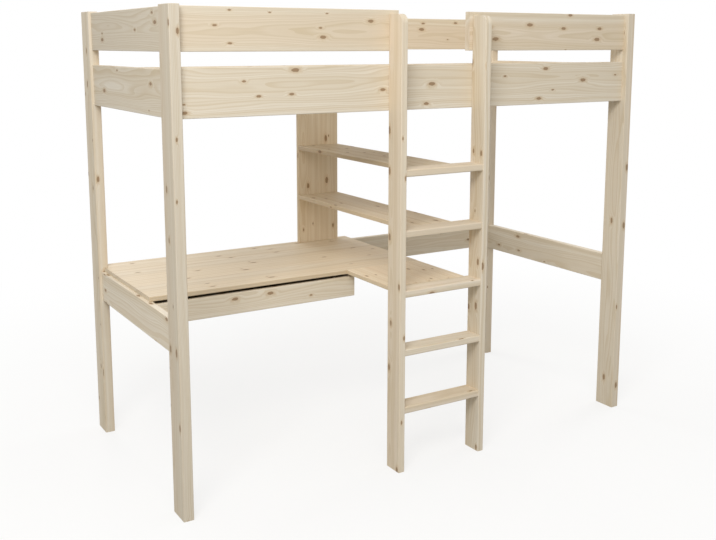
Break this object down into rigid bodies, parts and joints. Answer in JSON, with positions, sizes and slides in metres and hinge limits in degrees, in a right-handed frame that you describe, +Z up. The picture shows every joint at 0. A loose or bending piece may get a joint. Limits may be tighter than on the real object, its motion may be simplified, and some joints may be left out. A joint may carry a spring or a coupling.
{
  "type": "loft bed with desk",
  "caption": "Pine loft bed with guard rails, an upright ladder at the middle of one long side, an L-shaped desk with a shallow drawer below it and open shelves behind the ladder.",
  "frame": {"origin": "on the floor, under the middle of the bed's outer box", "axes": "+X along the bed, to the right for a person facing the ladder; -Y out of the ladder side; +Z up"},
  "size_m": [2.08, 1.062, 1.752],
  "materials": {
    "frame_pine": "untreated pale pine, planed, small brown knots",
    "ladder_pine": "untreated pale pine, planed, small brown knots",
    "panel_pine": "edge-glued pale pine board",
    "base_pine": "sawn and planed pale pine",
    "drawer_pine": "untreated pale pine, planed",
    "plywood": "thin sanded plywood sheet",
    "webbing": "woven off-white tape",
    "runner_steel": "white powder coat",
    "zinc_steel": "zinc plated"
  },
  "bodies": {
    "bed_frame": {"post_front_left": "frame_pine", "post_front_right": "frame_pine", "post_back_left": "frame_pine", "post_back_right": "frame_pine", "side_rail_front": "frame_pine", "guard_rail_front_left": "frame_pine", "guard_rail_front_right": "frame_pine", "side_rail_back": "frame_pine", "guard_rail_back": "frame_pine", "desk_beam_back": "frame_pine", "end_rail_left_lower": "frame_pine", "end_rail_left_upper": "frame_pine", "end_rail_right_lower": "frame_pine", "end_rail_right_upper": "frame_pine", "desk_beam_left": "frame_pine", "desk_beam_right": "frame_pine", "ladder_stile_left": "ladder_pine", "ladder_stile_right": "ladder_pine", "ladder_rung_1": "ladder_pine", "ladder_rung_2": "ladder_pine", "ladder_rung_3": "ladder_pine", "ladder_rung_4": "ladder_pine", "ladder_rung_5": "ladder_pine", "shelf_1": "panel_pine", "shelf_2": "panel_pine", "shelf_upright": "panel_pine", "desk_top": "panel_pine", "desk_return": "panel_pine", "slat_ledge_front": "base_pine", "slat_ledge_back": "base_pine", "bed_slats": "base_pine", "drawer_hanger": "base_pine", "slat_tapes": "webbing", "runner_fixed_left": "runner_steel", "runner_fixed_right": "runner_steel", "rail_bolts": "zinc_steel", "ladder_bolts": "zinc_steel", "desk_joint_plates": "zinc_steel", "desk_brackets": "zinc_steel"},
    "drawer": {"drawer_front": "drawer_pine", "drawer_side_left": "drawer_pine", "drawer_side_right": "drawer_pine", "drawer_back": "drawer_pine", "drawer_bottom": "plywood", "runner_moving_left": "runner_steel", "runner_moving_right": "runner_steel"}
  },
  "joints": [
    {"name": "drawer_slide", "type": "slide", "parent": "bed_frame", "child": "drawer", "axis": [0, -1, 0], "range_m": [0, 0.3]}
  ]
}
